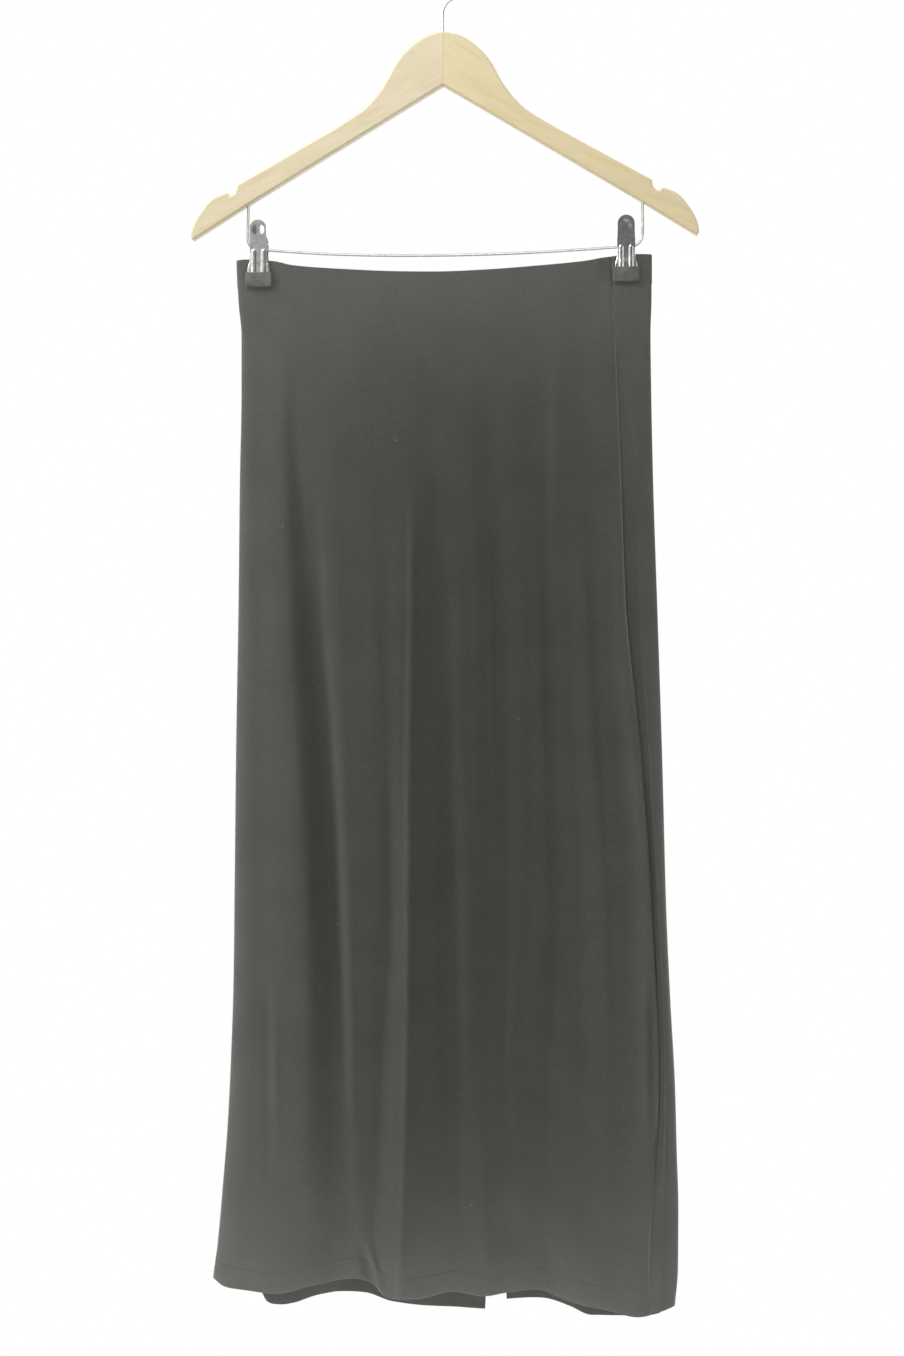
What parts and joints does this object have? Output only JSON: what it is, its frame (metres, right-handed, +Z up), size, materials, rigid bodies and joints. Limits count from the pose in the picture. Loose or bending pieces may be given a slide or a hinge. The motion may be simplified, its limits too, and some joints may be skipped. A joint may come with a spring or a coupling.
{
  "type": "skirt on hanger",
  "caption": "Long narrow jersey skirt with side seams and a centre-back slit, its waist gripped in the two clips of a wooden trouser hanger with a wire hook",
  "frame": {"origin": "inside the top of the hook's crown, where a wardrobe rail carries the hanger", "axes": "+Z up, -Y towards the skirt's front, +X to the right of someone facing the front"},
  "size_m": [0.445, 0.0419, 1.1842],
  "materials": {
    "jersey": "matt fine jersey knit",
    "pale_wood": "clear satin varnish",
    "warm_wood": "clear satin varnish",
    "steel_wire": "bright zinc plate",
    "plated_steel": "bright plated pressed sheet",
    "dark_rubber": "matt"
  },
  "bodies": {
    "root": {"front_panel": "jersey", "back_left_panel": "jersey", "back_right_panel": "jersey", "hanger_board_left": "pale_wood", "hanger_board_right": "warm_wood", "hook": "steel_wire", "rail": "steel_wire", "clip_left_front_plate": "plated_steel", "clip_left_back_plate": "plated_steel", "clip_left_spring": "plated_steel", "clip_left_front_cap": "dark_rubber", "clip_left_back_cap": "dark_rubber", "clip_right_front_plate": "plated_steel", "clip_right_back_plate": "plated_steel", "clip_right_spring": "plated_steel", "clip_right_front_cap": "dark_rubber", "clip_right_back_cap": "dark_rubber"}
  },
  "joints": []
}
